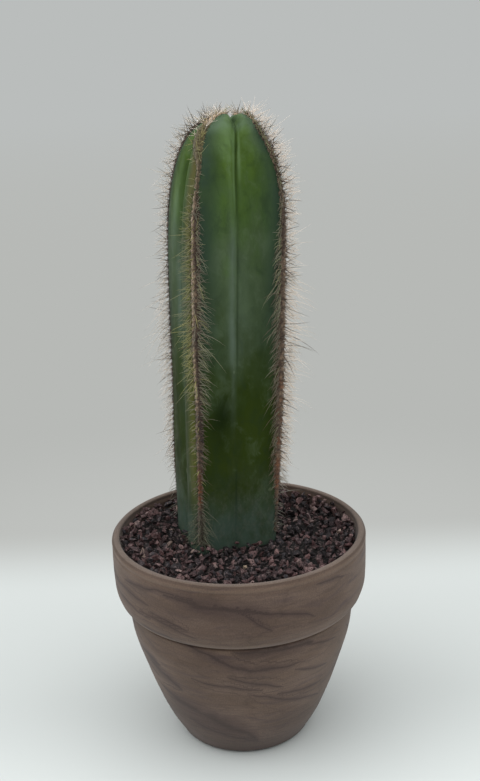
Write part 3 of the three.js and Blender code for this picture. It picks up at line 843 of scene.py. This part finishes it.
def settle_grains(rng):
    """Drops grains one by one, each into the lowest of a few random places, until few more fit."""
    cell = 0.3
    reach = 71.0
    size = int(2 * reach / cell) + 1
    ground = np.full((size, size), GRAVEL_BED)
    smallest, largest = GRAIN_RADIUS
    found = []
    misses = 0
    while misses < GRAIN_MISSES:
        radius = smallest + (largest - smallest) * rng.random() ** 1.5
        cells = int(radius / cell) + 1
        dx, dy = np.meshgrid(*[np.arange(-cells, cells + 1) * cell] * 2, indexing="ij")
        under = radius * radius - dx * dx - dy * dy
        cap = np.where(under > 0, np.sqrt(np.maximum(under, 0)), -99)
        best = None
        for _ in range(GRAIN_TRIES):
            turn = rng.uniform(0, TAU)
            out = math.sqrt(rng.random()) * (wall_radius(125.0) - radius * GRAIN_NESTING)
            x, y = out * math.cos(turn), out * math.sin(turn)
            away_x, away_y = x - STEM_BASE[0], y - STEM_BASE[1]
            skin = stem_radius(np.array(math.atan2(away_y, away_x)), np.array(GRAVEL_TOP))
            if math.hypot(away_x, away_y) < skin + radius * GRAIN_NESTING:
                continue
            column, row = int((x + reach) / cell), int((y + reach) / cell)
            patch = ground[column - cells : column + cells + 1, row - cells : row + cells + 1]
            if patch.shape != cap.shape:
                continue
            rest = (patch + cap * 0.8).max()
            above = rest + radius * 0.75 - grain_level(x, y)
            if above < 0 and (best is None or above < best[0]):
                best = (above, x, y, rest, patch)
        if best is None:
            misses += 1
            continue
        _, x, y, rest, patch = best
        np.maximum(patch, rest + cap * 0.8, out=patch)
        found.append((x, y, rest, radius))
    return np.array(found)


def make_gravel():
    """A bed with a hole for the stem, painted near black as the shade under and between the grains, and loose
    angular grains settled on it.
    """
    rng = np.random.default_rng(7)
    angle = np.arange(BED_TURNS) * TAU / BED_TURNS
    way = np.stack([np.cos(angle), np.sin(angle)], -1)
    hole = stem_point(angle, np.full(BED_TURNS, GRAVEL_TOP))[:, :2] + way * GAP
    edge, floor_edge = (way * (wall_radius(height) - GAP) for height in (GRAVEL_BED, SOIL_TOP + GAP))

    def ring(flat, height):
        return np.column_stack([flat, np.full(BED_TURNS, height)])

    top = np.array([ring(lerp(hole, edge, share), GRAVEL_BED) for share in np.linspace(0, 1, BED_RINGS)])
    top[..., 2] += 0.7 * lumps(top, (3, 3, 3), 31)
    floor = [ring(flat, SOIL_TOP + GAP) for flat in (floor_edge, hole)]
    bed = np.concatenate([top, floor])[::-1].reshape(-1, 3)
    # The bed takes tone 0, near black: painted shade under and between the grains
    points, faces, tones = [bed], [grid_faces(BED_RINGS + 2, BED_TURNS, True)], [np.zeros(len(bed))]
    found = settle_grains(rng)
    shapes = grain_shapes(rng)
    turned = random_turns(rng, len(found))
    tone = rng.beta(1.7, 1.9, len(found)) + 0.12 * lumps(found[:, :3], (14, 14, 14), 33)
    tone = np.clip(tone, 0.08, 0.95)
    tone[rng.random(len(found)) < BRIGHT_GRAINS] = 1.0
    start = len(bed)
    picks = rng.integers(0, GRAIN_SHAPES, len(found))
    for (x, y, z, radius), turn, own_tone, pick in zip(found, turned, tone, picks):
        corners, triangles = shapes[pick]
        points.append(corners @ turn.T * radius + (x, y, z))
        faces.append(triangles + start)
        tones.append(np.full(len(corners), own_tone))
        start += len(corners)
    values = {"tone": np.concatenate(tones)}
    return add_mesh("lava_bed", np.concatenate(points), faces, [LAVA], smooth=False, values=values)


def tubes(roots, ways, sags, lengths, radii, sides, rings):
    """Closed needles that taper and bend as they go: points, groups of faces, and the share along."""
    count, size = len(roots), rings * sides + 1
    share = np.linspace(0, 1, rings + 1)[:-1]
    reach = lengths[:, None] * share
    path = roots[:, None] + ways[:, None] * reach[..., None] + sags[:, None] * (reach * share)[..., None]
    helper = np.where(np.abs(ways[:, 2:]) < 0.8, [[0.0, 0.0, 1.0]], [[1.0, 0.0, 0.0]])
    right = unit(np.cross(ways, helper))
    front = np.cross(ways, right)
    turn = np.arange(sides) * TAU / sides
    ring = np.cos(turn)[None, :, None] * right[:, None] + np.sin(turn)[None, :, None] * front[:, None]
    width = radii[:, None] * (1 - 0.8 * share**1.4)
    body = path[:, :, None] + width[:, :, None, None] * ring[:, None]
    tip = roots + (ways + sags) * lengths[:, None]
    points = np.concatenate([body.reshape(count, -1, 3), tip[:, None]], 1)
    edge = np.arange(sides)
    cone = np.stack([edge, np.roll(edge, -1), np.full(sides, sides)], -1) + (rings - 1) * sides
    faces = [repeated(group, count, size) for group in (grid_faces(rings, sides), cone, edge[None, ::-1])]
    return points.reshape(-1, 3), faces, np.tile(np.append(np.repeat(share, sides), 1.0), count)


class Row:
    """A crest's row of areoles: their places, and the ways across the crest, up along it and out of it."""

    def __init__(self, crest):
        angle = FIRST_CREST + crest * QUARTER
        height = np.concatenate([np.arange(AREOLE_START, DOME_START, 0.4), dome_heights(300)])
        height = height[crest_radius(height) > ROW_END_RADIUS[crest]]
        line = stem_point(np.full(len(height), angle), height)
        length = np.append(0, np.cumsum(np.linalg.norm(np.diff(line, axis=0), axis=1)))
        stops = np.arange(1.0, length[-1], AREOLE_PITCH)
        self.place, ahead, behind = (
            np.stack([np.interp(stops + move, length, line[:, k]) for k in range(3)], -1)
            for move in (0, 0.6, -0.6)
        )
        self.up = unit(ahead - behind)
        level = np.tile([-math.sin(angle), math.cos(angle), 0.0], (len(stops), 1))
        self.out = unit(np.cross(level, self.up))
        self.across = np.cross(self.up, self.out)
        self.crest = crest
        self.index = np.arange(len(stops))

    def ways(self, index, across, up, out):
        """Steps across, up along and out of the crest, at each areole of an index, as one vector."""
        steps = ((self.across, across), (self.up, up), (self.out, out))
        return sum(way[index] * size[:, None] for way, size in steps)


def pad_shape():
    """A low dome's points, as shares across, along and out, with its faces."""
    sides, rings = 9, 5
    turn = np.arange(sides) * TAU / sides
    fall = np.linspace(0, math.pi, rings + 2)[-2:0:-1]
    body = [on_circle(turn, math.sin(f), np.full(sides, math.cos(f))) for f in fall]
    points = np.concatenate([*body, [[0, 0, -1], [0, 0, 1]]])
    return points, (grid_faces(rings, sides), pole_faces(rings, sides))


def felt_growth(crest, height):
    """How wide the felt is at a height: small at the tip, and uneven along the first two crests."""
    if crest == FRONT_LEFT:
        wide = fade(height, 316, 332, 1.0, 0.5) + 1.1 * bell((height - 356) / 9)
        base = fade(height, 138, 150, 1.15, 0.65) + 0.3 * fade(height, 172, 195)
        base = base + 0.3 * fade(height, 215, 245)
    else:
        wide = 1 + 0.2 * bell((height - 350) / 8)
        wide = wide * (fade(height, 305, 335, 1.0, 0.62) if crest == RIGHT else 1.0)
        base = fade(height, 132, 172, 0.35, 1.0)
    return wide * base * fade(height, 358, 365, 1.0, 0.6)


def felt_shift(crest, height):
    """How far the felt lies to one side of its crest, low down and higher up."""
    return fade(height, 205, 240, FELT_SHIFT_LOW[crest], FELT_SHIFT[crest])


def felt_marks(crest, flank, points, rng):
    """How light, rusty and mossy the felt is: each flank has its own painted tone, lighter as if lit or
    darker as if shaded, and the dome has another.
    """
    height = points[:, 2]
    # Painted light and shade: one flank's felt lighter, as if lit, the other's darker, as if shaded
    tone = lerp(*FELT_LIT_AND_SHADED_TONES[crest], fade(flank, -0.35, 0.35))
    if crest == FRONT_LEFT:
        tone = lerp(tone * fade(height, 190, 230, 0.5, 1.0), 0.3, fade(height, 340, 350))
    else:
        tone = lerp(tone, 0.34, fade(height, 300, 335))
    tone = tone + 0.24 * lumps(points, 1.7, 44) + 0.12 * lumps(points, (6, 6, 9), 45)
    rust = FELT_RUST[crest] * fade(height, 145, 154) * fade(height, 162, 180, 1, 0) * (1 - 0.7 * flank**2)
    if crest == RIGHT:
        patches = 0.6 * fade(lumps(points, 4, 46), 0.0, 0.6)
        rust = np.maximum(rust, patches * fade(height, 200, 250, 1, 0))
    moss = fade(height, 338, 350, 0.3, 0.7) * fade(height, 318, 335) * (crest == FRONT_LEFT)
    return {"wool": tone + rng.normal(0, 0.03, len(height)), "rust": rust, "moss": moss}


def make_pads(row, rng):
    """The felt cushion of each areole, wrapped over the crest: points, groups of faces, and the flank."""
    shape, groups = pad_shape()
    count, crest, height = len(row.place), row.crest, row.place[:, 2]
    width = rng.uniform(0.92, 1.08, count) * FELT_HALF_WIDTH[crest]
    along, above = rng.uniform(2.3, 2.7, count), rng.uniform(0.85, 1.05, count) * FELT_HEIGHT[crest]
    grown = felt_growth(crest, height)
    size = np.stack([width * grown, along * np.sqrt(grown), above * np.sqrt(grown)], -1)
    local = shape[None] * size[:, None]
    local[..., 0] += (felt_shift(crest, height) * grown)[:, None]
    local[..., 2] -= FELT_WRAP * local[..., 0] ** 2
    index = np.repeat(row.index, len(shape))
    points = row.place[index] + row.ways(index, *local.reshape(-1, 3).T)
    points = points + 0.28 * np.stack([lumps(points, 0.9, seed) for seed in (41, 42, 43)], -1)
    return points, [repeated(group, count, len(shape)) for group in groups], np.tile(shape[:, 0], count)


def make_wool(row, rng):
    """Short curled hairs standing on each cushion: points, groups of faces, and the flank."""
    crest, index = row.crest, np.repeat(row.index, WOOL_HAIRS)
    total, height = len(index), row.place[index, 2]
    spread, along = rng.uniform(-1, 1, total), rng.uniform(-1, 1, total)
    lift = np.sqrt(np.clip(1 - 0.6 * spread**2 - 0.5 * along**2, 0.1, 1))
    grown = felt_growth(crest, height)
    sideways = (0.95 * FELT_HALF_WIDTH[crest] * spread + felt_shift(crest, height)) * grown
    above = 0.85 * FELT_HEIGHT[crest] * lift * np.sqrt(grown) - 0.2 - FELT_WRAP * sideways**2
    roots = row.place[index] + row.ways(index, sideways, 1.7 * along, above)
    ways = row.ways(index, 1.1 * spread, 0.6 * along, lift)
    ways = unit(ways + rng.normal(0, 0.4, (total, 3)) - [0, 0, 0.25])
    lengths = rng.uniform(*WOOL_LENGTHS[crest], total) * fade(height, 345, 362, 1.0, 1.6)
    sags = rng.normal(0, 0.35, (total, 3)) - [0, 0, 0.2]
    points, faces, _ = tubes(roots, ways, sags, lengths, np.full(total, WOOL_RADIUS), 3, 3)
    return points, faces, spread


def spine_density(crest, side, height):
    """The share of a crest's spines that grow at a height."""
    if crest == FRONT_LEFT:
        full = fade(height, 306, 330, 1.0, 0.15) + 0.6 * fade(height, 350, 358)
        sparse = np.where(side < 0, 0.7, 0.45)
        return full - sparse * fade(height, 202, 238, 1, 0) * fade(height, 140, 150)
    outer = (crest == RIGHT) & (side > 0)
    return fade(height, 148, 178, 0.12, 1.0) * np.where(outer, fade(height, 225, 260, 1.0, 0.75), 1.0)


def spine_ways(row, index, side, step, droop, foot, rng):
    """The way of each spine: centrals stand out, the rest spread near the tip and are combed lower down."""
    crest, total, central = row.crest, len(index), side == 0
    fall = np.where(side < 0, *COMB_FALL[crest])
    combed = side * (lerp(82.0, fall, droop) + step * lerp(1.7, 1.0, droop) + rng.normal(0, 8, total))
    around = np.radians(np.where(central, rng.uniform(-180, 180, total), combed))
    leant = np.where(side < 0, *COMB_TILT[crest]) + rng.normal(0, 7, total)
    leant = lerp(leant, 58.0 + rng.normal(0, 12, total), 1 - droop)
    leant = leant - 25 * foot * rng.random(total)
    tilt = np.radians(np.where(central, rng.uniform(6, 40, total), leant))
    ways = row.ways(index, np.sin(tilt) * np.sin(around), np.sin(tilt) * np.cos(around), np.cos(tilt))
    ways[:, 2] -= 0.4 * droop * central
    return unit(ways + rng.normal(0, 0.05, (total, 3)))


def spine_lengths(crest, side, height, foot, rng):
    """The length of each spine: longest at mid height, with some that stand out from the rest."""
    middle = bell((height - 250) / 36)
    lengths = fade(height, 130, 190, 5.6, 7.4) + MIDDLE_LENGTH[crest] * middle
    lengths = lengths * np.where(side == 0, 0.9, np.where(side < 0, *COMB_LENGTH[crest]))
    lengths = lengths * fade(height, 300, 335, 1.0, DOME_LENGTH[crest]) * (1 + 0.5 * foot)
    if crest == FRONT_LEFT:
        lengths = lengths * (1 - 0.3 * fade(height, 195, 230, 1, 0) * fade(height, 142, 152))
    if crest == RIGHT:
        lengths = lengths * np.where(side < 0, fade(height, 300, 330, 1.0, 0.6), 1.0)
    few = np.where((crest == FRONT_LEFT) & (side > 0), 0.1, 1.0)
    long_ones = rng.random(len(side)) < 0.02 + 0.1 * middle * few
    long, short = rng.uniform(1.3, 1.9, len(side)), rng.uniform(0.6, 1.05, len(side))
    return lengths * np.where(long_ones, long, short)


def spine_tones(crest, side, height, viewer, rng):
    """The tone of each spine: each flank's own, a young one on the dome, and odd ones between."""
    tone = np.where(side < 0, *COMB_TONE[crest]) + rng.normal(0, 0.06, len(side))
    young_tone = np.where(viewer, 0.28, 0.88)
    if crest == FRONT_LEFT:
        tone = tone + 0.1 * (side < 0) * bell((height - 244) / 14)
        tone = tone - 0.1 * fade(height, 195, 230, 1, 0) * fade(height, 140, 165)
        young_tone = fade(height, 352, 360, 0.34, 0.8)
    tone = tone - 0.07 * viewer * fade(height, 235, 280, 1, 0)
    young = fade(height, 325, 350)
    tone = lerp(tone, young_tone, young)
    odd = rng.choice(ODD_TONES[crest], len(side))
    odd = np.where(viewer, np.minimum(odd, 0.3), odd)
    is_odd = rng.random(len(side)) < ODD_SHARE[crest] + ODD_SHARE_YOUNG[crest] * young
    return np.clip(np.where((side == 0) | is_odd, odd, tone), 0, 1)


def make_spines(row, rng):
    """A crest's needles, where a central's side is 0: points, groups of faces, shares along, and tones."""
    crest = row.crest
    comb = [(0.0, 0.0)] * CENTRALS
    for side, count in zip((-1.0, 1.0), COMB_COUNT[crest]):
        comb += [(side, step) for step in np.linspace(-COMB_SPREAD, COMB_SPREAD, count)]
    index = np.repeat(row.index, len(comb))
    side, step = np.tile(comb, (len(row.place), 1)).T
    keep = rng.random(len(index)) < spine_density(crest, side, row.place[index, 2])
    index, side, step = index[keep], side[keep], step[keep]
    total, height, central = len(index), row.place[index, 2], side == 0
    viewer = (crest == RIGHT) & (side < 0)
    droop = np.where(viewer, fade(height, 292, 332, 1, 0), fade(height, 258, 312, 1, 0))
    foot = fade(height, 134, 150, 1, 0) * (crest == FRONT_LEFT)
    ways = spine_ways(row, index, side, step, droop, foot, rng)
    lengths = spine_lengths(crest, side, height, foot, rng)
    sideways = side * np.where(side < 0, *COMB_ROOT[crest]) * FELT_HALF_WIDTH[crest]
    sideways = (sideways + felt_shift(crest, height)) * felt_growth(crest, height) + rng.normal(0, 0.3, total)
    above = 0.6 * FELT_HEIGHT[crest] - FELT_WRAP * sideways**2
    roots = row.place[index] + row.ways(index, sideways, rng.normal(0, 0.7, total), above)
    sags = rng.normal(0, 0.07, (total, 3))
    sags[:, 2] -= COMB_HOOK[crest] * droop * ~central
    rise = ways[:, 2] + sags[:, 2]
    over = roots[:, 2] + rise * lengths - SPINE_CEILING
    lengths = np.where(over > 0, lengths - over / np.maximum(rise, 0.1), lengths)
    sunk = GRAVEL_TOP + 2.5 - (roots[:, 2] + rise * lengths)
    lengths = np.where(sunk > 0, np.maximum(lengths * 0.5, 1.5), lengths)
    thick = central * 0.02 + ((side > 0) & (crest == RIGHT)) * 0.03
    radii = (0.15 + thick) * rng.uniform(0.85, 1.15, total)
    points, faces, along = tubes(roots, ways, sags, lengths, radii, 5, 5)
    return points, faces, along, spine_tones(crest, side, height, viewer, rng)


def make_crest(crest):
    """One crest's row of areoles: felt cushions, wool and spines."""
    rng = np.random.default_rng(100 + crest)
    row = Row(crest)
    pads, pad_faces, flank = make_pads(row, rng)
    wool, wool_faces, spread = make_wool(row, rng)
    horn, horn_faces, along, tone = make_spines(row, rng)
    felt, hair = np.concatenate([pads, wool]), len(wool) // len(spread)
    marks = felt_marks(crest, np.append(flank, np.repeat(spread, hair)), felt, rng)
    marks["wool"][len(pads) :] += np.repeat(rng.normal(0.08, 0.14, len(spread)), hair)
    values = {name: np.append(mark, np.zeros(len(horn))) for name, mark in marks.items()}
    values["tone"] = np.append(np.zeros(len(felt)), np.repeat(tone, len(horn) // len(tone)))
    values["along"] = np.append(np.zeros(len(felt)), along)
    felt_faces = pad_faces + [group + len(pads) for group in wool_faces]
    faces = felt_faces + [group + len(felt) for group in horn_faces]
    kinds = [0] * sum(map(len, felt_faces)) + [1] * sum(map(len, horn_faces))
    name, points = f"areole_row_{crest + 1}", np.concatenate([felt, horn])
    return add_mesh(name, points, faces, [FELT, SPINE], values=values, face_materials=kinds)


# Camera: its place in metres, and its angles in degrees
CAMERA_PLACE = (0.0, -0.6, 0.404)
CAMERA_PITCH, CAMERA_ROLL, CAMERA_YAW = 17.64, 2.05, 0.36
CAMERA_LENS = 51.03


def make_camera():
    """The photo's view: 0.6 m in front of the pot and 0.4 m up, looking a little down."""
    data = bpy.data.cameras.new("camera")
    data.sensor_width = 36.0
    data.lens = CAMERA_LENS
    data.clip_start, data.clip_end = 0.02, 100.0
    camera = bpy.data.objects.new("camera", data)
    view = Matrix.Translation(CAMERA_PLACE)
    for degrees, axis in ((-CAMERA_YAW, "Z"), (90 - CAMERA_PITCH, "X"), (-CAMERA_ROLL, "Z")):
        view = view @ Matrix.Rotation(math.radians(degrees), 4, axis)
    camera.matrix_world = view
    bpy.context.scene.collection.objects.link(camera)
    bpy.context.scene.camera = camera


# Stage: the floor's reach in millimetres, and its and the backdrop's colours. The floor's front colour is
# painted light, paler in front of the pot
FLOOR_REACH = 2e4
FLOOR = (207, 211, 210)
FLOOR_FRONT_PAINTED_LIGHT = (225, 230, 229)
BACKDROP_LOW = (191, 193, 190)
BACKDROP_MIDDLE = (183, 185, 182)
BACKDROP_TOP = (186, 189, 188)


def make_stage():
    """A pale floor, with painted light in front of the pot, that turns into the backdrop's grey behind the
    pot, where it glows, and much the same grey all round.
    """
    corners = [(x * FLOOR_REACH, y * FLOOR_REACH, -0.1) for x, y in ((-1, -1), (1, -1), (1, 1), (-1, 1))]
    paper = Shader("floor_paper")
    flat = paper.vector("MULTIPLY", paper.place, (1, 1, 0))
    away = paper.node("ShaderNodeVectorMath", {0: flat}, operation="LENGTH").outputs["Value"]
    away, ahead = paper.math("DIVIDE", away, MM), paper.axis("Y")
    back = paper.math("MAXIMUM", paper.step(ahead, 165, 290), paper.step(away, 750, 1600))
    # Painted light: the floor paler in front of the pot
    front = paper.times(paper.step(ahead, 30, -120), paper.step(away, 600, 200))
    paper.colour = paper.mix(front, FLOOR, FLOOR_FRONT_PAINTED_LIGHT)
    material = paper.finish(1.0, None, 0.0)
    wall = paper.mix(paper.step(away, 270, 600), BACKDROP_LOW, BACKDROP_MIDDLE)
    wall = paper.mix(paper.step(away, 1200, 6000), wall, BACKDROP_TOP)
    glow = paper.node("ShaderNodeEmission", {"Color": wall})
    mixed = paper.node("ShaderNodeMixShader", {0: back, 1: paper.surface.outputs[0], 2: glow.outputs[0]})
    paper.tree.links.new(mixed.outputs[0], paper.tree.nodes["Material Output"].inputs["Surface"])
    floor = add_mesh("floor", corners, [np.array([[0, 1, 2, 3]])], [material])
    world = bpy.data.worlds.new("studio")
    world.use_nodes = True
    world.node_tree.nodes["Background"].inputs["Color"].default_value = srgb(*BACKDROP_TOP)
    bpy.context.scene.world = world
    bpy.context.scene.view_settings.view_transform = "Standard"


def add_window(name, azimuth, elevation, width, strength):
    """Soft light from far away, as from a window: azimuth turns from the viewer's side towards the right."""
    data = bpy.data.lights.new(name, "SUN")
    data.angle, data.energy = math.radians(width), strength
    lamp = bpy.data.objects.new(name, data)
    lamp.rotation_euler = (math.radians(90 - elevation), 0.0, math.radians(azimuth))
    bpy.context.scene.collection.objects.link(lamp)


make_camera()
make_stage()
add_window("window_left", -80, 40, 50, 0.48)
add_window("window_right", 80, 40, 60, 0.48)
add_window("ceiling", -50, 80, 80, 1.68)

pieces = [(make_pot(), "pot", "clay"), (make_gravel(), "lava_gravel", "lava")]
pieces += [(make_stem(), "stem", "cactus_skin")]
pieces += [(make_crest(crest), f"areoles_{crest + 1}", "spines") for crest in range(CREST_COUNT)]
for piece, node, slot in pieces:
    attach(piece, "root")
    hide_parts(node)

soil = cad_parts["potting_soil"]
soil.data.materials.clear()
soil.data.materials.append(SOIL)
